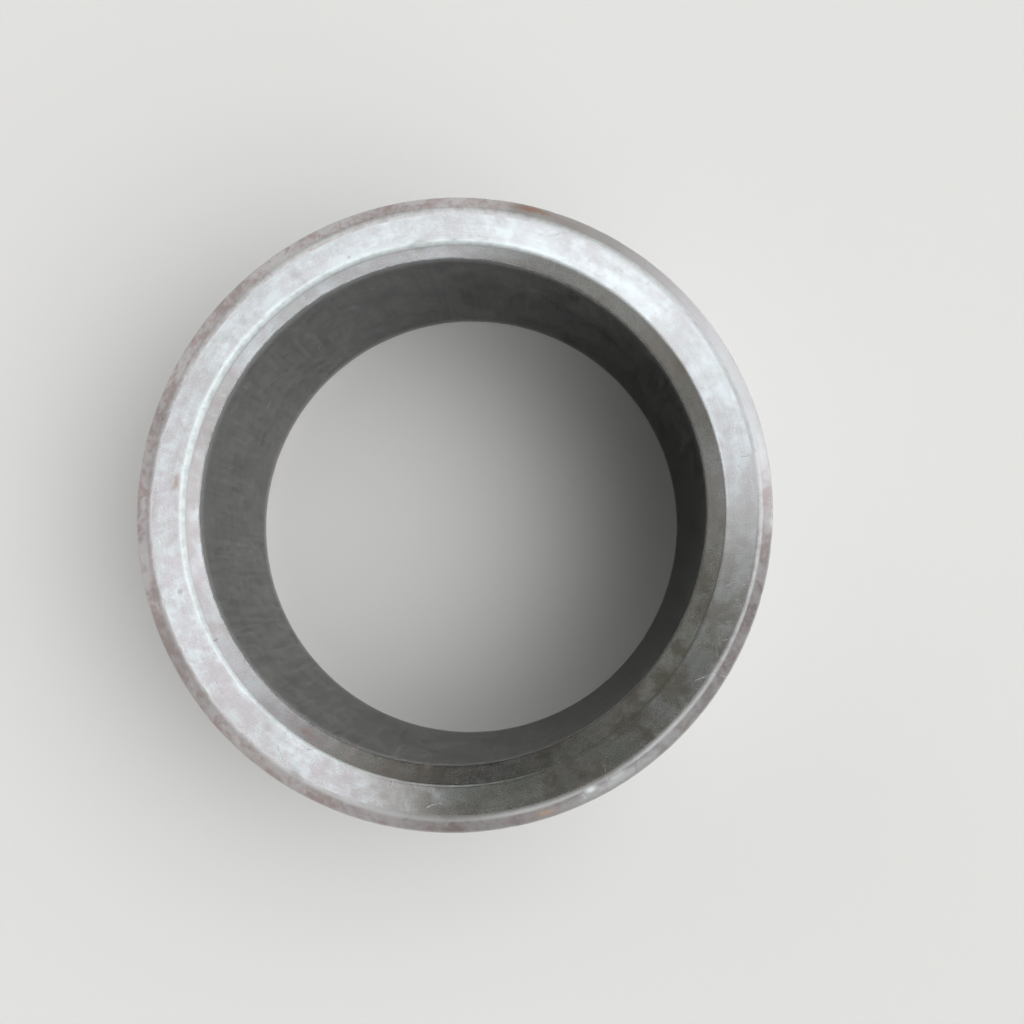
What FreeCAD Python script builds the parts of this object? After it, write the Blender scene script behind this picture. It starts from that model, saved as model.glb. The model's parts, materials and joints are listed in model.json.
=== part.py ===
import FreeCAD, Part
import math
import os

# Plain cylindrical sleeve bushing: a short tube with a running bore for a shaft and an outside
# diameter that presses into a housing. Each end has a chamfer at the bore mouth and another
# round the outside, and every corner is broken with a small radius.
#
# Millimetres. The origin is on the bore's axis at the lower end face, and +Z runs along the
# axis to the upper end face. Both ends are the same.

outer_d = 50.0
bore_d = 40.0
length = 20.0             # end face to end face

# Chamfers: width is radial, height is axial.
bore_chamfer_w = 1.20
bore_chamfer_h = 0.90     # 37 degrees from the end face
outer_chamfer_w = 1.10
outer_chamfer_h = 0.54    # 26 degrees from the end face

# Corner radii
bore_edge_r = 0.25        # bore wall to bore chamfer
face_inner_r = 0.90       # bore chamfer to end face
face_outer_r = 0.95       # end face to outside chamfer
outer_edge_r = 0.30       # outside chamfer to outside diameter


def section_corners():
    """Corners of the wall section in the XZ plane, each a point and its rounding radius."""
    bore_x = bore_d / 2
    outer_x = outer_d / 2
    # x, z, rounding radius: the lower end, from the bore outwards
    lower_end = [
        (bore_x, bore_chamfer_h, bore_edge_r),
        (bore_x + bore_chamfer_w, 0.0, face_inner_r),
        (outer_x - outer_chamfer_w, 0.0, face_outer_r),
        (outer_x, outer_chamfer_h, outer_edge_r),
    ]
    # The upper end mirrors it, from the outside back to the bore.
    upper_end = [(x, length - z, radius) for x, z, radius in reversed(lower_end)]
    return [(FreeCAD.Vector(x, 0, z), radius) for x, z, radius in lower_end + upper_end]


def corner_arc(previous, corner, following, radius):
    """Start, middle and end points of the arc that rounds a corner between its neighbours."""
    back = (previous - corner).normalize()
    ahead = (following - corner).normalize()
    inward = (back + ahead).normalize()
    half_angle = back.getAngle(ahead) / 2
    setback = radius / math.tan(half_angle)
    mid_distance = radius / math.sin(half_angle) - radius
    return corner + back * setback, corner + inward * mid_distance, corner + ahead * setback


def rounded_wire(corners):
    """Closed wire through the corners, with each one rounded by its radius."""
    count = len(corners)
    arcs = []
    for i, (corner, radius) in enumerate(corners):
        previous = corners[i - 1][0]
        following = corners[(i + 1) % count][0]
        arcs.append(corner_arc(previous, corner, following, radius))

    edges = []
    for i, (start, middle, end) in enumerate(arcs):
        next_start = arcs[(i + 1) % count][0]
        edges.append(Part.Arc(start, middle, end).toShape())
        edges.append(Part.LineSegment(end, next_start).toShape())
    return Part.Wire(edges)


def bushing_sleeve():
    """The wall section revolved about the bore's axis."""
    section = Part.Face(rounded_wire(section_corners()))
    solid = section.revolve(FreeCAD.Vector(0, 0, 0), FreeCAD.Vector(0, 0, 1), 360)
    # A negative volume means the solid is inside out.
    if solid.Volume < 0:
        solid.reverse()
    return solid


def export(name, shape):
    """Write one valid solid to its STEP file."""
    if shape.ShapeType != "Solid" or not shape.isValid():
        raise RuntimeError(name + " is not one valid solid")
    shape.exportStep(os.path.join("parts", name + ".step"))


os.makedirs("parts", exist_ok=True)
export("bushing_sleeve", bushing_sleeve())
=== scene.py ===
# A turned steel sleeve: a ring with its axis on Z, its lower end at z = 0 and both ends chamfered
# at the bore and at the outside. It stands on a pale floor under a camera that looks down.
import json
import math
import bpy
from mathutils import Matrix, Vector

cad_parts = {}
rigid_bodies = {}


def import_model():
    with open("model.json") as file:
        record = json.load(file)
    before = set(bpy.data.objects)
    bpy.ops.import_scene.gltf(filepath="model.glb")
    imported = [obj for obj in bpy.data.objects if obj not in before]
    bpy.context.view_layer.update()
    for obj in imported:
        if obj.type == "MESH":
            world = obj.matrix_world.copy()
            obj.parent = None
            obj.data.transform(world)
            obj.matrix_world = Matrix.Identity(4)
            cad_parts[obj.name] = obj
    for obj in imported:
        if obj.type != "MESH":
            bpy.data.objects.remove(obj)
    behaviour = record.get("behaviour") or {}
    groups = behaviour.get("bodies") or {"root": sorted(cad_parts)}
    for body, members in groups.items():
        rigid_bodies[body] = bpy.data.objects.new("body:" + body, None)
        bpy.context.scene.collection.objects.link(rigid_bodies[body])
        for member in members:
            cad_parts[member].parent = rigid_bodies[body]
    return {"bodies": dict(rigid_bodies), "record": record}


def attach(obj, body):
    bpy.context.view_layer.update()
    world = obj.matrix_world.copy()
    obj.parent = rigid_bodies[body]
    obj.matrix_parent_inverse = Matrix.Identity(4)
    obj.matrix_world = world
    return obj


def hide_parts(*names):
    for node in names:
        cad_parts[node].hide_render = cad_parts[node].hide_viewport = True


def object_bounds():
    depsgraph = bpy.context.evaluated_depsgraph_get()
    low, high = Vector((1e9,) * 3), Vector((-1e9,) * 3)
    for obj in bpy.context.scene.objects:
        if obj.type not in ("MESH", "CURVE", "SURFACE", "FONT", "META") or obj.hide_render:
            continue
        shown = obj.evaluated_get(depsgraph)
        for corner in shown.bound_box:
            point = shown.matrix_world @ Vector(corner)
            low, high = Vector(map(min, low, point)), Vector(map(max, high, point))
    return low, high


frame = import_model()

from types import SimpleNamespace

import bpy
import numpy as np
from mathutils import Matrix, Vector, noise

cad_lo, cad_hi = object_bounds()
scene = bpy.context.scene
scene.view_settings.view_transform = "Standard"
scene.view_settings.look = "None"
scene.view_settings.exposure = 0.0
scene.view_settings.gamma = 1.0

MM = 0.001

# ---------------------------------------------------------------- sizes of the ring, in mm
TOP = (cad_hi.z - cad_lo.z) / MM
OUTER_R = (cad_hi.x - cad_lo.x) / MM / 2
BORE_R = next(m for m in frame["record"]["mounts"] if m["name"] == "bore")["dims"]["r_mm"]
BORE_W, BORE_H = 1.20, 0.90   # bore chamfer, radial width and depth
OUT_W, OUT_H = 1.10, 0.54     # outside chamfer, radial width and depth
NOISE_R = 22.0                # circle on which the unevenness of the edges is sampled

SEGMENTS = 640                # round the ring
WALL_STEPS = 18               # along each wall
FLAT_POINTS = (8, 9, 7)       # across the bore chamfer, the face and the outside chamfer
FLAT_START, FLAT_SPAN = 0.04, 0.92   # part of a flat that its points cover

ANGLES = np.linspace(0, 2 * np.pi, SEGMENTS, endpoint=False)
# Zones of one end, from the bore to the outside. A rounded corner lies between two of them.
ZONE_CHAIN = ("bore_wall", "bore_cham", "face", "out_cham", "outer_wall")

# Marks: angle in degrees, radius and height, size across, length round the ring, strength.
# Brown stains: a smear and spots on the chamfers, and fainter ones on the faces and outside wall.
STAINS = [
    (74.8, 24.55, TOP - 0.40, 0.55, 2.4, 1.00), (69.5, 24.40, TOP - 0.33, 0.40, 1.6, 0.70),
    (175.0, 21.75, TOP, 0.36, 0.65, 1.00), (171.0, 20.60, TOP - 0.35, 0.35, 0.8, 0.50),
    (31.0, 21.00, TOP - 0.15, 0.40, 0.9, 0.80), (-6.5, 20.55, TOP - 0.40, 0.35, 0.6, 0.85),
    (-72.5, 24.45, TOP - 0.35, 0.40, 1.3, 0.92), (238.0, 20.65, TOP - 0.35, 0.40, 1.3, 0.90),
    (-103.0, 22.70, TOP, 0.35, 0.55, 0.60), (225.0, 24.85, TOP - 0.55, 0.32, 3.5, 0.60),
    (207.0, 24.85, TOP - 0.55, 0.32, 2.6, 0.45), (-128.0, 24.85, TOP - 0.55, 0.30, 1.6, 0.65),
    (-101.0, 20.50, TOP - 0.40, 0.33, 0.7, 0.55), (118.0, 20.60, TOP - 0.35, 0.33, 0.8, 0.35),
    (-92.0, 24.75, TOP - 0.45, 0.40, 2.0, 0.48), (-125.0, 24.65, TOP - 0.42, 0.38, 1.5, 0.62),
    (-152.0, 24.75, TOP - 0.45, 0.36, 1.8, 0.50), (40.0, 24.60, 0.40, 0.45, 2.6, 0.90),
    (150.0, 20.60, 0.35, 0.40, 1.2, 0.70), (265.0, 22.40, 0.0, 0.40, 1.0, 0.55),
    (-40.0, 25.0, 6.5, 0.9, 1.6, 0.55), (162.0, 25.0, 12.0, 0.7, 1.2, 0.50),
    (250.0, 25.0, 3.0, 0.8, 2.2, 0.60),
]
# Bright places on the top outside chamfer and its corner with the face: rubbed places, and painted
# highlights along that corner.
RUBBED_AND_HIGHLIGHT = [
    (-63.3, 24.10, TOP - 0.17, 0.28, 0.45, 1.0), (-58.0, 24.20, TOP - 0.22, 0.25, 0.9, 0.5),
    (-3.0, 24.85, TOP - 0.55, 0.25, 0.35, 0.9), (12.0, 24.40, TOP - 0.32, 0.30, 2.5, 0.4),
    (203.0, 23.85, TOP - 0.05, 0.22, 2.0, 0.5), (-60.0, 24.45, TOP - 0.28, 0.45, 4.2, 0.30),
    (-45.0, 23.85, TOP - 0.05, 0.20, 6.0, 0.40), (-75.0, 23.82, TOP - 0.05, 0.20, 6.0, 0.50),
    (-112.0, 23.84, TOP - 0.04, 0.20, 9.0, 0.65),
]
# Dents along the edges of each end: radius, depth below the end, how many, size.
EDGE_DENTS = [
    (BORE_R, BORE_H, 22, 0.24), (OUTER_R, OUT_H, 14, 0.34),
    (BORE_R + BORE_W, 0.0, 6, 0.34), (OUTER_R - OUT_W, 0.0, 8, 0.34),
]
FACE_DENTS, WALL_DENTS = 5, 22
DEEPEST_DENT = 0.06


# ---------------------------------------------------------------- shape of the ring
def unit(v):
    return v / np.linalg.norm(v, axis=-1, keepdims=True)


def ring_noise(wavelength, seed, octaves=1):
    """Noise in -1..1 round the ring, without a seam."""
    sizes = [0.5 ** o for o in range(octaves)]
    levels = []
    for angle in ANGLES:
        across, up = NOISE_R * math.cos(angle), NOISE_R * math.sin(angle)
        place = Vector((across, up, seed * 7.31)) / wavelength
        level = sum(size * noise.noise(place * (2 ** o) + Vector((seed * 1.7, o * 3.1, seed)))
                    for o, size in enumerate(sizes))
        levels.append(level / sum(sizes))
    return np.array(levels)


def end_corners(seed, turn):
    """The four corners of one end: (radius and depth at every angle, wall taken by the rounding,
    steps of the rounding). The chamfers are a little off centre, set by the direction turn, and
    the roundings vary round the ring, as hand-broken edges do."""
    def wobble(wavelength, offset, octaves=1):
        return ring_noise(wavelength, seed + offset, octaves)

    def swing(lead):
        return np.cos(ANGLES + math.radians(turn + lead))

    def corner(radius, depth):
        every = np.ones(SEGMENTS)
        return np.stack([radius * every, depth * every], 1)

    bore_w = BORE_W + 0.19 * swing(22) + 0.030 * wobble(9.0, 1, 2)
    bore_h = BORE_H * bore_w / BORE_W + 0.014 * wobble(1.1, 2) + 0.010 * wobble(0.5, 11)
    oval = np.cos(2 * ANGLES + math.radians(2 * turn - 122))
    out_w = OUT_W + 0.09 - 0.10 * swing(-4) - 0.08 * oval + 0.030 * wobble(10.0, 3, 2)
    out_h = OUT_H * out_w / OUT_W
    # The corner of face and bore chamfer is nearly sharp on one side.
    face_in = (0.06 + 0.34 * (0.5 - 0.5 * swing(0)) ** 1.2) * (1 + 0.22 * wobble(11.0, 4, 2))
    face_out = (0.23 + 0.08 * np.maximum(0, swing(-135))) * (1 + 0.22 * wobble(12.0, 5, 2))
    bore_edge = 0.095 * (1 + 0.30 * wobble(1.6, 6, 2))
    outer_edge = 0.19 * (1 + 0.20 * wobble(6.0, 7, 2))
    corners = [
        (corner(BORE_R, bore_h), bore_edge, 7),
        (corner(BORE_R + bore_w, 0), face_in, 9),
        (corner(OUTER_R - out_w, 0), face_out, 8),
        (corner(OUTER_R, out_h), outer_edge, 8),
    ]
    return corner(BORE_R, TOP / 2), corners, corner(OUTER_R, TOP / 2)


def rounding(before, corner, after, taken, steps):
    """A list of points on the arc that replaces a corner and takes that much of each side."""
    back, ahead = unit(before - corner), unit(after - corner)
    half = np.arccos(np.clip((back * ahead).sum(1), -1, 1)) / 2
    radius = taken * np.tan(half)
    centre = corner + unit(back + ahead) * (radius / np.sin(half))[:, None]
    start = corner + back * taken[:, None] - centre
    end = corner + ahead * taken[:, None] - centre
    sweep = np.arccos(np.clip((unit(start) * unit(end)).sum(1), -1, 1))
    arc = []
    for k in range(steps + 1):
        start_share = np.sin((1 - k / steps) * sweep) / np.sin(sweep)
        end_share = np.sin(k / steps * sweep) / np.sin(sweep)
        arc.append(centre + start * start_share[:, None] + end * end_share[:, None])
    return arc


def end_section(seed, turn):
    """The section of one end, from the bore wall over the face to the outside wall: radius and
    depth as (point, angle, 2), and for each point its zones and how far it is into a rounding."""
    before, corners, after = end_corners(seed, turn)
    chain = [before] + [c[0] for c in corners] + [after]
    arcs = [rounding(chain[i], point, chain[i + 2], taken, steps)
            for i, (point, taken, steps) in enumerate(corners)]
    points, zones = [], []
    for i, arc in enumerate(arcs):
        points += arc
        last = len(arc) - 1
        zones += [(ZONE_CHAIN[i:i + 2], math.sin(math.pi * k / last)) for k in range(last + 1)]
        if i < len(FLAT_POINTS):
            start, end, count = arc[-1], arcs[i + 1][0], FLAT_POINTS[i]
            for k in range(count):
                points.append(start + (end - start) * (FLAT_START + FLAT_SPAN * k / (count - 1)))
            zones += [((ZONE_CHAIN[i + 1],), 0.0)] * count
    return np.stack(points), zones


def ring_section():
    """Radius and height (row, angle, 2) of the whole section: top end, down the outside wall,
    lower end, up the bore wall. With it, the zones and rounding of each row."""
    top, top_zones = end_section(seed=3, turn=35)
    low, low_zones = end_section(seed=17, turn=160)
    top[..., 1] = TOP - top[..., 1]
    low, low_zones = low[::-1], low_zones[::-1]

    def wall(start, end):
        return [start + (end - start) * (k / WALL_STEPS) for k in range(1, WALL_STEPS)]

    grid = np.concatenate([top, wall(top[-1], low[0]), low, wall(low[-1], top[0])])
    outer_zones, bore_zones = ([((zone,), 0.0)] * (WALL_STEPS - 1)
                               for zone in ("outer_wall", "bore_wall"))
    return grid, top_zones + outer_zones + low_zones + bore_zones


def dent_list():
    """Small dents and nicks: radius, angle, height, size, depth."""
    rng = np.random.default_rng(41)
    turn = 2 * math.pi
    dents = []
    for end in (TOP, 0.0):
        for radius, depth, count, mean_size in EDGE_DENTS:
            for _ in range(count):
                angle = rng.uniform(0, turn)
                size = mean_size * rng.uniform(0.7, 1.5)
                height = abs(end - depth - rng.uniform(-0.05, 0.1))
                dents.append((radius, angle, height, size, size * rng.uniform(0.04, 0.10)))
        for _ in range(FACE_DENTS):
            dents.append((rng.uniform(21.9, 23.0), rng.uniform(0, turn), end,
                          rng.uniform(0.25, 0.5), rng.uniform(0.002, 0.006)))
    for _ in range(WALL_DENTS):
        dents.append((OUTER_R, rng.uniform(0, turn), rng.uniform(1.5, TOP - 1.5),
                      rng.uniform(0.3, 0.8), rng.uniform(0.008, 0.025)))
    return dents


def press_dents(co):
    """The points pushed in along the surface's own normal, and how strongly each is marked."""
    along_section = np.roll(co, -1, 0) - np.roll(co, 1, 0)
    along_ring = np.roll(co, -1, 1) - np.roll(co, 1, 1)
    outward = unit(np.cross(along_section, along_ring))
    push = np.zeros(co.shape[:2])
    mark = np.zeros(co.shape[:2])
    for radius, angle, height, size, depth in dent_list():
        centre = np.array([radius * math.cos(angle), radius * math.sin(angle), height])
        away = ((co - centre) ** 2).sum(-1) / (size * size)
        near = away < 6
        push[near] += depth * np.exp(-1.6 * away[near])
        mark[near] = np.maximum(mark[near], np.exp(-1.2 * away[near]))
    return co - outward * np.minimum(push, DEEPEST_DENT)[..., None], mark


def spots(co, marks):
    """How strongly each point is covered by a table of marks."""
    cover = np.zeros(co.shape[:2])
    angle = np.arctan2(co[..., 1], co[..., 0])
    radius = np.hypot(co[..., 0], co[..., 1])
    for degrees, mark_r, mark_z, wide, length, strength in marks:
        turn = (angle - math.radians(degrees) + math.pi) % (2 * math.pi) - math.pi
        across = (radius - mark_r) ** 2 + (co[..., 2] - mark_z) ** 2
        away = (turn * radius / length) ** 2 + across / wide ** 2
        cover = np.maximum(cover, strength * np.exp(-away))
    return cover


def ring_mesh(co):
    """A closed mesh over the grid of points, in metres."""
    rows = co.shape[0]
    mesh = bpy.data.meshes.new("sleeve_ring")
    mesh.vertices.add(rows * SEGMENTS)
    mesh.vertices.foreach_set("co", co.astype(np.float32).ravel())
    row, col = np.arange(rows)[:, None], np.arange(SEGMENTS)[None]
    here, below = row * SEGMENTS, ((row + 1) % rows) * SEGMENTS
    beside = (col + 1) % SEGMENTS
    quads = np.stack([here + col, below + col, below + beside, here + beside], -1).reshape(-1, 4)
    mesh.loops.add(quads.size)
    mesh.loops.foreach_set("vertex_index", quads.ravel().astype(np.int32))
    mesh.polygons.add(len(quads))
    mesh.polygons.foreach_set("loop_start", (np.arange(len(quads)) * 4).astype(np.int32))
    mesh.polygons.foreach_set("use_smooth", np.ones(len(quads), bool))
    mesh.update(calc_edges=True)
    mesh.validate()
    return mesh


def build_ring():
    grid, zones = ring_section()
    co = np.stack([grid[..., 0] * np.cos(ANGLES), grid[..., 0] * np.sin(ANGLES), grid[..., 1]], -1)
    co, dent = press_dents(co)
    stain, rub = spots(co, STAINS), spots(co, RUBBED_AND_HIGHLIGHT)
    mesh = ring_mesh(co * MM)

    def attribute(name, values):
        data = mesh.attributes.new(name, "FLOAT", "POINT").data
        data.foreach_set("value", np.ascontiguousarray(values, dtype=np.float32).ravel())

    for zone in ("face", "bore_cham", "out_cham", "bore_wall", "outer_wall"):
        shares = [(zone in names) / len(names) for names, _ in zones]
        attribute("z_" + zone, np.repeat(shares, SEGMENTS))
    attribute("edge", np.repeat([edge for _, edge in zones], SEGMENTS))
    attribute("dent", dent)
    attribute("stain", stain)
    attribute("rub", rub)
    obj = bpy.data.objects.new("sleeve_ring", mesh)
    scene.collection.objects.link(obj)
    return obj


ring = build_ring()


# ---------------------------------------------------------------- node helpers
class Value:
    """The output of a node. Arithmetic on it adds math nodes to its net."""

    def __init__(self, net, socket):
        self.net, self.socket = net, socket

    def __add__(self, other):
        return self.net.math("ADD", self, other)

    def __radd__(self, other):
        return self.net.math("ADD", other, self)

    def __sub__(self, other):
        return self.net.math("SUBTRACT", self, other)

    def __rsub__(self, other):
        return self.net.math("SUBTRACT", other, self)

    def __mul__(self, other):
        return self.net.math("MULTIPLY", self, other)

    def __truediv__(self, other):
        return self.net.math("DIVIDE", self, other)


class Net:
    """Short calls for building a node tree. Inputs are Values or plain numbers."""

    def __init__(self, tree):
        self.tree = tree

    def put(self, socket, value):
        if isinstance(value, Value):
            self.tree.links.new(value.socket, socket)
        else:
            socket.default_value = value

    def node(self, kind, inputs={}, **props):
        node = self.tree.nodes.new(kind)
        for name, value in props.items():
            setattr(node, name, value)
        for key, value in inputs.items():
            self.put(node.inputs[key], value)
        return node

    def value(self, kind, inputs={}, output=0, **props):
        return Value(self, self.node(kind, inputs, **props).outputs[output])

    def split(self, kind, value):
        return [Value(self, out) for out in self.node(kind, {0: value}).outputs]

    def math(self, operation, *values, clamp=False):
        inputs = dict(enumerate(values))
        return self.value("ShaderNodeMath", inputs, operation=operation, use_clamp=clamp)

    def dot(self, a, b):
        return self.value("ShaderNodeVectorMath", {0: a, 1: b}, "Value", operation="DOT_PRODUCT")

    def shift(self, a, b):
        return self.value("ShaderNodeVectorMath", {0: a, 1: b}, "Vector", operation="ADD")

    def scale(self, vector, factor):
        inputs = {0: vector, "Scale": factor}
        return self.value("ShaderNodeVectorMath", inputs, "Vector", operation="SCALE")

    def noise(self, vector, scale, detail=2.0, rough=0.5, warp=0.0):
        """Noise about 0.5."""
        inputs = {"Vector": vector, "Scale": scale, "Detail": detail, "Roughness": rough,
                  "Distortion": warp}
        return self.value("ShaderNodeTexNoise", inputs, noise_dimensions="3D")

    def ramp(self, value, lo, hi, to=(0.0, 1.0)):
        """A smooth step from to[0] at lo to to[1] at hi."""
        inputs = {"Value": value, "From Min": lo, "From Max": hi, "To Min": to[0], "To Max": to[1]}
        return self.value("ShaderNodeMapRange", inputs, "Result", interpolation_type="SMOOTHSTEP")

    def mix(self, amount, a, b, blend="MIX"):
        a, b = ((*v, 1.0) if isinstance(v, tuple) else v for v in (a, b))
        inputs = {"Factor": amount, 6: a, 7: b}
        return self.value("ShaderNodeMix", inputs, 2, data_type="RGBA", blend_type=blend)

    def grey(self, level):
        return self.value("ShaderNodeCombineColor", {0: level, 1: level, 2: level})


class RingNet(Net):
    """A net that knows the place on the ring: the point in mm, its radius and height, and the
    cosine and sine of its angle."""

    def __init__(self, tree):
        super().__init__(tree)
        coords = self.value("ShaderNodeTexCoord", output="Object")
        self.point = self.scale(coords, 1000.0)
        x, y, self.height = self.split("ShaderNodeSeparateXYZ", self.point)
        self.radius = self.math("SQRT", x * x + y * y)
        self.cos, self.sin = x / self.radius, y / self.radius

    def attr(self, name):
        return self.value("ShaderNodeAttribute", output="Fac", attribute_name=name,
                          attribute_type="GEOMETRY")

    def sector(self, x, y, lo, hi, to=(0.0, 1.0)):
        """A ramp that rises towards the side (x, y) of the ring."""
        return self.ramp(self.cos * x + self.sin * y, lo, hi, to)

    def lay(self, along, around, **look):
        """Noise drawn out along or round the ring."""
        inputs = {0: along, 1: self.cos * around, 2: self.sin * around}
        return self.noise(self.value("ShaderNodeCombineXYZ", inputs), scale=1.0, **look)

    def blots(self, offset, **look):
        return self.noise(self.shift(self.point, offset), **look)


# ---------------------------------------------------------------- sleeve material
STEEL_A, STEEL_B = (0.590, 0.600, 0.618), (0.662, 0.682, 0.700)     # clean, darker and lighter
STEEL_PINK, STEEL_WARM = (0.552, 0.496, 0.522), (0.440, 0.388, 0.368)  # handled, tarnished
PATINA_A, PATINA_B = (0.442, 0.366, 0.360), (0.632, 0.608, 0.624)   # outside chamfer
# dark colours towards +x -y: mottled dirt and painted shade on the ends, and painted shade in the
# face's inner corner
DIRT_AND_SHADE, CORNER_SHADE = (0.290, 0.275, 0.238), (0.150, 0.145, 0.125)
# the bore colour is darkened as painted shade
SHADED_BORE = (0.160, 0.164, 0.161)
RUST, STAIN, SPECK = (0.270, 0.185, 0.140), (0.450, 0.245, 0.155), (0.300, 0.245, 0.225)
# the bright edge colour is partly burnished wear, partly painted highlight
WORN_AND_HIGHLIGHT, SCRATCH, DENT = (0.890, 0.960, 0.970), (0.78, 0.78, 0.79), (0.36, 0.33, 0.32)


def zone_values(net):
    zone = SimpleNamespace(
        face=net.attr("z_face"), bore_cham=net.attr("z_bore_cham"),
        out_cham=net.attr("z_out_cham"), bore=net.attr("z_bore_wall"),
        outer=net.attr("z_outer_wall"), edge=net.attr("edge"), dent=net.attr("dent"))
    zone.ends = zone.face + zone.bore_cham + zone.out_cham
    return zone


def textures(net):
    radius, height = net.radius, net.height
    return SimpleNamespace(
        # tool marks: rings on the ends, lines round the walls, faint lay along the bore
        rings=net.lay(radius * 5.0, around=2.2, detail=3.0, rough=0.65),
        rings_low=net.lay(radius * 1.7, around=3.5, detail=2.0, rough=0.5),
        lines=net.lay(height * 4.0, around=3.0, detail=4.0, rough=0.7),
        lay=net.lay(height * 0.16, around=70.0, detail=3.0, rough=0.6),
        streak=net.lay(radius * 1.6, around=5.0, detail=3.0, rough=0.6, warp=0.3),
        # stains and mottling
        mottle=net.noise(net.point, scale=0.62, detail=3.0, rough=0.52, warp=0.3),
        fine=net.blots((3.0, 17.0, 5.0), scale=1.9, detail=3.0, rough=0.6, warp=0.2),
        blotch=net.blots((31.0, 7.0, 3.0), scale=0.25, detail=3.0, rough=0.55, warp=0.6),
        brown=net.blots((-12.0, 44.0, 9.0), scale=0.42, detail=5.0, rough=0.62, warp=1.2),
        grain=net.noise(net.point, scale=9.0, detail=3.0, rough=0.7),
    )


def specks(net, grain):
    """Small dark specks of different sizes, in some of the cells only."""
    cells = net.node("ShaderNodeTexVoronoi", {"Vector": net.point, "Scale": 0.62},
                     voronoi_dimensions="3D", feature="F1")
    distance, colour = (Value(net, cells.outputs[name]) for name in ("Distance", "Color"))
    pick = net.split("ShaderNodeSeparateColor", colour)[0]
    size = net.ramp(pick, lo=0.76, hi=1.0, to=(0.0, 0.16))
    inside = net.ramp((distance - size) + (grain - 0.5) * 0.08, lo=-0.05, hi=0.07, to=(1.0, 0.0))
    return inside * net.ramp(pick, lo=0.76, hi=0.82)


def scratches(net, direction, per_mm, seed, width, keep):
    """Short handling scratches: thin slices through the part, broken up by noise."""
    across = net.dot(net.point, tuple(Vector(direction).normalized()))
    bend = net.blots((seed, seed, seed), scale=0.12, detail=1.0) * 3.0
    slices = net.math("FRACT", across * per_mm + bend)
    wide = width * per_mm
    line = net.ramp(net.math("ABSOLUTE", slices - 0.5), lo=wide * 0.4, hi=wide, to=(1.0, 0.0))
    gate = net.blots((seed * 2.0, 5.0, seed), scale=0.55, detail=2.0)
    return line * net.ramp(gate, lo=keep, hi=keep + 0.05)


def all_scratches(net):
    first, second, third = (
        scratches(net, direction, per_mm, seed, width, keep)
        for direction, per_mm, seed, width, keep in (
            ((0.7, 0.2, 0.68), 0.63, 3.0, 0.035, 0.60),
            ((-0.35, 0.9, 0.25), 0.41, 17.0, 0.030, 0.61),
            ((0.15, -0.55, 0.82), 0.52, 29.0, 0.030, 0.60),
        ))
    return net.math("MAXIMUM", net.math("MAXIMUM", first, second), third)


def masks(net, zone, tex):
    """Where each kind of wear and soiling lies, and where the painted highlights on the edges go.
    """
    fine, ramp = tex.fine, net.ramp
    local = net.attr("stain") * ramp(fine * 0.6 + tex.grain * 0.4, lo=0.30, hi=0.62, to=(0.45, 1.0))
    pink = ramp(tex.mottle * 0.7 + fine * 0.3, lo=0.40, hi=0.62) * (1.0 + zone.outer * -0.72)
    warm = ramp(tex.blotch + fine * 0.15, lo=0.48, hi=0.68) * (1.0 + zone.outer * -0.45)
    browned = tex.brown + zone.out_cham * 0.035 + zone.bore * -0.05 + zone.face * -0.02
    rust = net.math("MAXIMUM", ramp(browned, lo=0.675, hi=0.75), local * 0.9)
    # corners of the face with the bore chamfer and with the outside chamfer
    corner_in = net.math("MINIMUM", zone.face, zone.bore_cham) * 2.0
    corner_out = net.math("MINIMUM", zone.face, zone.out_cham) * 2.0
    # bright edge of each corner, partly wear and partly painted highlight, stronger on the sides
    # where each edge catches the light
    rim = (
        corner_in * (0.55 + net.cos * -0.40 + net.sin * 0.22)
        + corner_out * (0.34 + net.cos * 0.20 + net.sin * 0.36)
        + net.math("MINIMUM", zone.bore, zone.bore_cham) * (0.90 + net.cos * -0.60 + net.sin * 0.70)
        + net.math("MINIMUM", zone.outer, zone.out_cham) * 0.5
    )
    worn_and_highlight = (ramp(zone.edge, lo=0.15, hi=0.85) * rim
            * ramp(fine, lo=0.30, hi=0.60, to=(0.55, 1.0)) * (1.0 - rust * 0.8))
    # the patina is thinned towards +x +y so the chamfer shines brighter there: painted light
    patina = (ramp(zone.out_cham, lo=0.0, hi=0.75)
              * ramp(tex.mottle * 0.6 + fine * 0.4, lo=0.30, hi=0.70, to=(1.0, 0.78))
              * net.sector(0.743, 0.669, lo=0.68, hi=0.97, to=(1.0, 0.22)))
    return SimpleNamespace(
        local=local, pink=pink, warm=warm, rust=rust, corner_in=corner_in, patina=patina,
        worn_and_highlight=net.math("MAXIMUM", worn_and_highlight, net.attr("rub") * 0.9),
        speck=specks(net, tex.grain), scratch=all_scratches(net))


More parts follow.
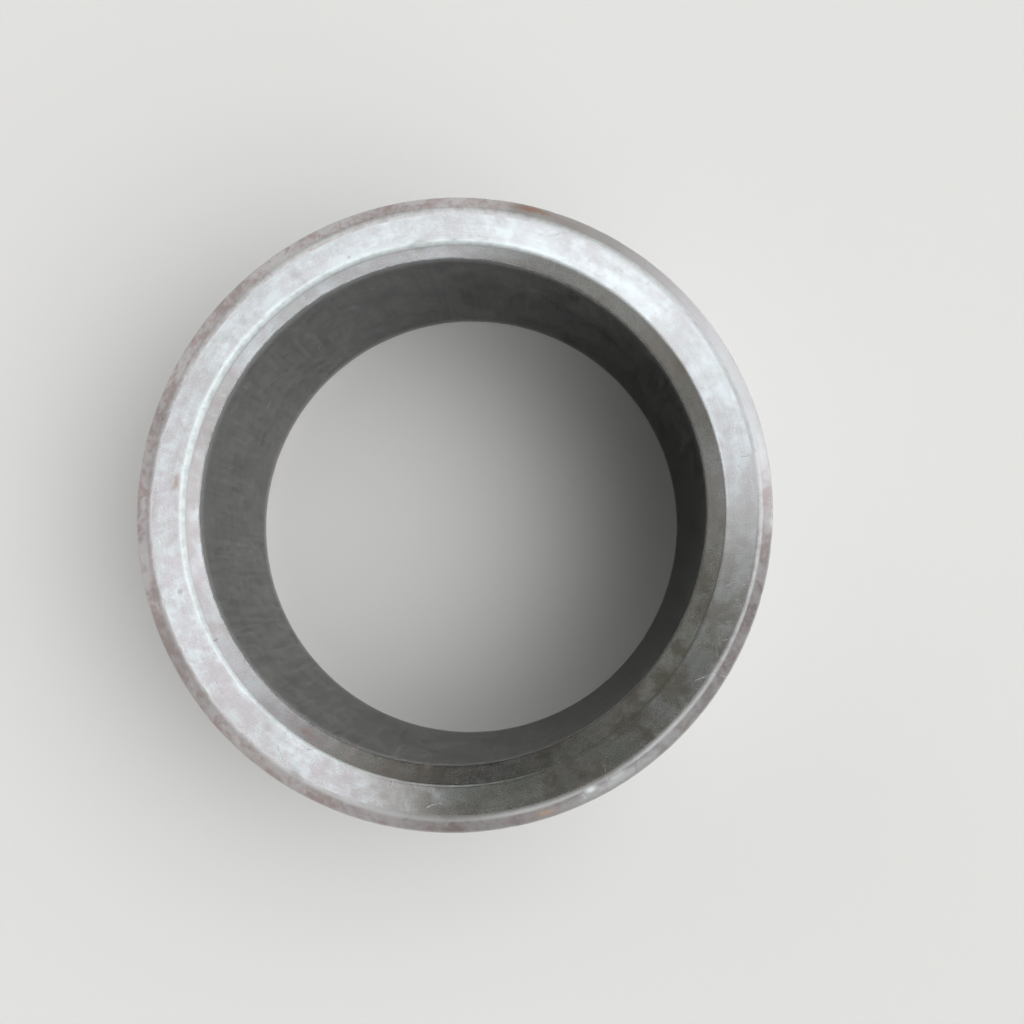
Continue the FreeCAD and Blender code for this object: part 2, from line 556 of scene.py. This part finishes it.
def brightness(net, zone, tex):
    """The factor on the colour, by zone: tool marks, mottling, and sides made lighter or darker as
    painted light and shade.
    """
    fine = tex.fine
    return (
        0.955 + tex.grain * 0.10 + tex.rings * (zone.ends * 0.03)
        + tex.lines * (zone.outer * 0.30) + zone.outer * -0.11 + tex.lay * (zone.bore * 0.30)
        + (tex.mottle - 0.5) * (zone.bore * 0.60) + (fine - 0.5) * (zone.bore_cham * 0.38)
        + (tex.blotch - 0.5) * (zone.out_cham * 0.45)
        # painted shade: the outside chamfer darker towards +x
        + zone.out_cham * net.sector(0.996, 0.087, lo=0.88, hi=0.99, to=(0.0, -0.11))
        # bore mottling, and the bore wall darker towards +x: painted shade
        + (fine - 0.5) * (zone.bore * 0.45) + net.cos * (zone.bore * -0.15)
        # painted light: the bore chamfer lighter towards -x and towards +x
        + zone.bore_cham * (
            0.02 + net.sector(-0.966, 0.259, lo=0.75, hi=0.97, to=(0.0, 0.12))
            + net.sector(0.956, -0.292, lo=0.80, hi=0.97, to=(0.0, 0.17)))
        # painted shade: the outside chamfer darker towards -y
        + zone.out_cham * net.sector(-0.469, -0.883, lo=0.70, hi=0.95, to=(0.0, -0.13))
        # painted shade: the face darker towards +x
        + zone.face * net.sector(0.951, 0.309, lo=0.92, hi=0.99, to=(0.0, -0.07))
        + zone.bore * -0.04 + -0.03
    )


def base_colour(net, zone, tex, mask):
    mottle, fine, blotch = tex.mottle, tex.fine, tex.blotch
    colour = net.mix(net.ramp(tex.rings_low * 0.5 + tex.streak * 0.5, lo=0.35, hi=0.65),
                     STEEL_A, STEEL_B)
    # painted light and shade: the outside chamfer's patina is lighter round most of the ring and
    # darker towards +x -y, and the ends get mottled dirt and painted shade towards +x -y
    side = net.sector(0.616, -0.788, lo=0.42, hi=0.88, to=(1.26, 0.38))
    sector = net.sector(0.574, -0.819, lo=0.50, hi=0.95)
    blotchy_dirt_and_shade = 0.12 + net.ramp(mottle * 0.5 + blotch * 0.5, lo=0.44, hi=0.57, to=(0.0, 0.70))
    patches = net.ramp(mottle * 0.40 + fine * 0.35 + blotch * 0.25, lo=0.42, hi=0.58)
    # layers from the bottom up: amount, colour
    for amount, tint in (
        (mask.pink * net.sector(0.50, 0.866, lo=-0.60, hi=0.85, to=(0.82, 0.42)), STEEL_PINK),
        (mask.warm * (0.25 + zone.bore_cham * 0.25), STEEL_WARM),
        # mottled dirt and painted shade on the ends towards +x -y
        (sector * zone.ends * blotchy_dirt_and_shade, DIRT_AND_SHADE),
        # painted shade in the corner of the face with the bore chamfer, towards +x -y
        (sector * (mask.corner_in * 0.80), CORNER_SHADE),
        # patina made lighter round most of the ring and darker towards +x -y: painted light and
        # shade
        (mask.patina, net.scale(net.mix(patches, PATINA_A, PATINA_B), side)),
        # painted shade in the bore
        (zone.bore * 0.94, SHADED_BORE),
        (mask.rust * 0.60, RUST),
        (net.ramp(mask.local, lo=0.45, hi=0.95) * 0.70, STAIN),
        (mask.speck * (0.42 - zone.bore * 0.20), SPECK),
        # bright edges: burnished wear and painted highlight
        (mask.worn_and_highlight * 0.85, WORN_AND_HIGHLIGHT),
        (mask.scratch * 0.22, SCRATCH),
        (zone.dent * 0.14, DENT),
    ):
        colour = net.mix(amount, colour, tint)
    return net.mix(1.0, colour, net.grey(brightness(net, zone, tex)), "MULTIPLY")


def edge_tint(net, zone, tex):
    """White, but duller in the bore, so that its painted shade stays dark at a low angle."""
    # the bore is duller towards +x: painted shade
    dull = (0.60 + net.cos * -0.10 + (tex.fine - 0.5) * 0.30 + (tex.lay - 0.5) * 0.40
            + (tex.blotch - 0.5) * 0.30)
    return net.mix(zone.bore, (1.0, 1.0, 1.0), net.grey(net.math("MAXIMUM", dull, 0.30)))


def roughness(net, zone, tex, mask):
    """Zones first, then soiling and corners, then tool marks and wear."""
    bore_corner = net.math("MINIMUM", zone.bore, zone.bore_cham)
    rough = (
        0.245 + zone.bore * -0.08 + zone.outer * 0.13 + zone.out_cham * 0.06
        + zone.bore_cham * 0.015
        + mask.pink * 0.020 + mask.warm * 0.020 + mask.rust * 0.07 + mask.speck * 0.05
        + zone.edge * 0.05 + zone.edge * (mask.corner_in * 0.12) + zone.edge * (bore_corner * 0.40)
        + (tex.grain - 0.5) * 0.12 + (tex.rings - 0.5) * (zone.ends * 0.05)
        + (tex.lines - 0.5) * (zone.outer * 0.18)
        + mask.worn_and_highlight * -0.015 + zone.dent * 0.08
    )
    return net.math("MINIMUM", net.math("MAXIMUM", rough, 0.08), 0.7)


def relief(zone, tex, mask):
    """Height of the surface, in metres."""
    return (
        tex.rings * (zone.ends * 1.2e-6) + tex.rings_low * (zone.ends * 1.6e-6)
        + tex.lines * (zone.outer * 6.0e-6) + tex.lines * (zone.bore * 1.6e-6)
        + tex.lay * (zone.bore * 1.4e-6)
        + tex.mottle * (2.4e-6 + zone.bore * -1.8e-6 + zone.outer * -1.6e-6)
        + tex.grain * 0.5e-6 + mask.scratch * -4.0e-6 + mask.speck * -1.6e-6
        + mask.rust * (3.0e-6 + zone.bore * -2.2e-6)
    )


def sleeve_material():
    """Turned and ground steel: satin face and chamfers with concentric tool marks, burnished edges
    with painted highlights, a honed bore darkened with painted shade, a ground outside wall,
    mottled stains, and painted light and shade on some sides."""
    mat = bpy.data.materials.new("turned_sleeve_metal")
    mat.use_nodes = True
    net = RingNet(mat.node_tree)
    zone, tex = zone_values(net), textures(net)
    mask = masks(net, zone, tex)
    # stained and oxidised metal, and the bright edges of wear and painted highlight, scatter some
    # light of their own, clean metal none
    scatter = (mask.patina * 0.62 + mask.worn_and_highlight * 0.22 + mask.rust * 0.30 + mask.speck * 0.20
               + mask.warm * 0.06 + mask.pink * 0.03)
    unbrushed = zone.bore * 0.25 + mask.rust * 0.6 + zone.out_cham * 0.3 + zone.edge * 0.2
    bump = {"Strength": 1.0, "Distance": 1.0, "Height": relief(zone, tex, mask)}
    bsdf = mat.node_tree.nodes["Principled BSDF"]
    for name, value in {
        "Base Color": base_colour(net, zone, tex, mask),
        "Specular Tint": edge_tint(net, zone, tex),
        "Metallic": net.math("SUBTRACT", 1.0, scatter, clamp=True),
        "Roughness": roughness(net, zone, tex, mask),
        "Anisotropic": net.math("SUBTRACT", 0.85, unbrushed, clamp=True),
        "Anisotropic Rotation": 0.25,
        "Tangent": net.value("ShaderNodeTangent", direction_type="RADIAL", axis="Z"),
        "Normal": net.value("ShaderNodeBump", bump),
    }.items():
        net.put(bsdf.inputs[name], value)
    return mat


ring.data.materials.append(sleeve_material())
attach(ring, "sleeve_bushing" if "sleeve_bushing" in frame["bodies"] else "root")
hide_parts("bushing_sleeve")


# ---------------------------------------------------------------- floor
def build_floor():
    bpy.ops.mesh.primitive_circle_add(
        vertices=256, radius=2.0, fill_type="TRIFAN", location=(0, 0, -0.00001))
    floor = bpy.context.object
    floor.name = "stage_floor"
    mat = bpy.data.materials.new("pale_floor")
    mat.use_nodes = True
    inputs = mat.node_tree.nodes["Principled BSDF"].inputs
    inputs["Base Color"].default_value = (0.80, 0.80, 0.79, 1)
    inputs["Roughness"].default_value = 1.0
    inputs["Specular IOR Level"].default_value = 0.0
    floor.data.materials.append(mat)


build_floor()

# ---------------------------------------------------------------- light
# Soft lights of a plain studio: direction round and height above the horizon, half width (all in
# degrees), strength. SHEEN is what the metal mirrors, WASH is what falls on matt surfaces.
SHEEN = [
    (0, 86, 11, 0.46), (60, 74, 11, 1.02), (120, 74, 11, 1.72), (180, 74, 11, 1.37),
    (240, 74, 11, 0.58), (67, 58, 15, 0.45), (0, 42, 15, 0.99), (225, 42, 15, 0.35),
    (315, 42, 15, 1.27), (18, 26, 15, 1.15), (54, 26, 15, 0.43), (270, 26, 15, 1.33),
    (306, 26, 15, 1.08), (342, 26, 15, 0.48), (36, 11, 15, 1.33), (72, 11, 15, 0.22),
    (144, 11, 15, 0.28), (180, 11, 15, 0.48), (216, 11, 15, 0.25), (120, 26, 15, 0.08),
]
WASH = [
    (0, 48, 20, 3.64), (60, 48, 20, 1.23), (300, 48, 20, 0.75), (45, 22, 22, 0.78),
    (135, 22, 22, 1.16), (225, 22, 22, 0.47), (315, 22, 22, 1.61),
]
BACKDROP = (0.770, 0.768, 0.750)
DARK_TINT, PLAIN_TINT, BRIGHT_TINT = (1.0, 1.0, 0.80), (1.0, 0.990, 1.0), (0.930, 1.0, 1.015)
WASH_TINT = (1.0, 0.995, 0.985)


def soft_lights(net, toward, lights):
    total = 0.0
    for around, above, half, strength in lights:
        around, above, half = map(math.radians, (around, above, half))
        aim = (math.cos(around) * math.cos(above), math.sin(around) * math.cos(above),
               math.sin(above))
        falloff = math.log(2) / (1 - math.cos(half))
        total = total + net.math("EXPONENT", (net.dot(toward, aim) - 1.0) * falloff) * strength
    return total


def build_world():
    """The camera sees a plain backdrop, all other rays see the soft lights."""
    world = bpy.data.worlds.new("studio")
    scene.world = world
    world.use_nodes = True
    world.cycles.sampling_method = "NONE"
    net = Net(world.node_tree)
    toward = net.value("ShaderNodeTexCoord", output="Generated")
    rays = net.node("ShaderNodeLightPath").outputs
    glossy, seen = (Value(net, rays[name]) for name in ("Is Glossy Ray", "Is Camera Ray"))
    levels = {"Factor": glossy, 2: soft_lights(net, toward, WASH),
              3: soft_lights(net, toward, SHEEN)}
    level = net.value("ShaderNodeMix", levels, data_type="FLOAT")
    # dark corners of the room are warmer, the brightest lights cooler
    sheen_tint = net.mix(net.ramp(level, lo=0.05, hi=0.60), DARK_TINT, PLAIN_TINT)
    sheen_tint = net.mix(net.ramp(level, lo=0.9, hi=1.8), sheen_tint, BRIGHT_TINT)
    tint = net.mix(glossy, WASH_TINT, sheen_tint)
    lit = net.value("ShaderNodeBackground", {0: tint, 1: level})
    plain = world.node_tree.nodes["Background"]
    plain.inputs[0].default_value = (*BACKDROP, 1)
    plain.inputs[1].default_value = 1.0
    shader = net.value("ShaderNodeMixShader", {0: seen, 1: lit, 2: Value(net, plain.outputs[0])})
    net.put(world.node_tree.nodes["World Output"].inputs[0], shader)


build_world()

# A dark card level with the camera, seen only in the metal: it darkens part of the face.
CARD_X, CARD_Y, CARD_Z = 0.00775, -0.00674, TOP * MM + 0.0745
CARD_X0, CARD_X1 = CARD_X - 0.0193, CARD_X + 0.046
CARD_Y0, CARD_Y1 = CARD_Y - 0.056, CARD_Y + 0.026


def card_material():
    """A faint glow that fades to clear at the +x, +y and -y edges."""
    mat = bpy.data.materials.new("dark_card")
    mat.use_nodes = True
    mat.node_tree.nodes.clear()
    net = Net(mat.node_tree)
    place = net.value("ShaderNodeNewGeometry", output="Position")
    x, y, _ = net.split("ShaderNodeSeparateXYZ", place)
    cover = (net.ramp(y, lo=CARD_Y - 0.006, hi=CARD_Y1, to=(1.0, 0.0))
             * net.ramp(y, lo=CARD_Y0, hi=CARD_Y - 0.040)
             * net.ramp(x, lo=CARD_X + 0.030, hi=CARD_X1, to=(1.0, 0.0)))
    clear = net.value("ShaderNodeBsdfTransparent")
    glow = net.value("ShaderNodeEmission", {0: (1.0, 1.0, 0.35, 1), 1: 0.035})
    shader = net.value("ShaderNodeMixShader", {0: cover, 1: clear, 2: glow})
    net.node("ShaderNodeOutputMaterial", {0: shader})
    return mat


def build_card():
    mesh = bpy.data.meshes.new("stage_card")
    corners = ((CARD_X0, CARD_Y0), (CARD_X1, CARD_Y0), (CARD_X1, CARD_Y1), (CARD_X0, CARD_Y1))
    mesh.from_pydata([(x, y, CARD_Z) for x, y in corners], [], [(0, 1, 2, 3)])
    card = bpy.data.objects.new("stage_card", mesh)
    scene.collection.objects.link(card)
    for ray in ("camera", "diffuse", "shadow", "transmission"):
        setattr(card, "visible_" + ray, False)
    mesh.materials.append(card_material())


build_card()

# ---------------------------------------------------------------- camera
cam_data = bpy.data.cameras.new("camera")
cam_data.sensor_width = 36.0
cam_data.lens = 33.966
cam_data.clip_start = 0.005
cam_data.clip_end = 20.0
cam = bpy.data.objects.new("camera", cam_data)
scene.collection.objects.link(cam)
cam.matrix_world = Matrix((
    (0.99923472, 0.00000000, 0.03911500, 0.007754640),
    (0.00326154, 0.99651755, -0.08331945, -0.006739656),
    (-0.03897879, 0.08338327, 0.99575493, TOP * MM + 0.074489995),
    (0, 0, 0, 1),
))
scene.camera = cam
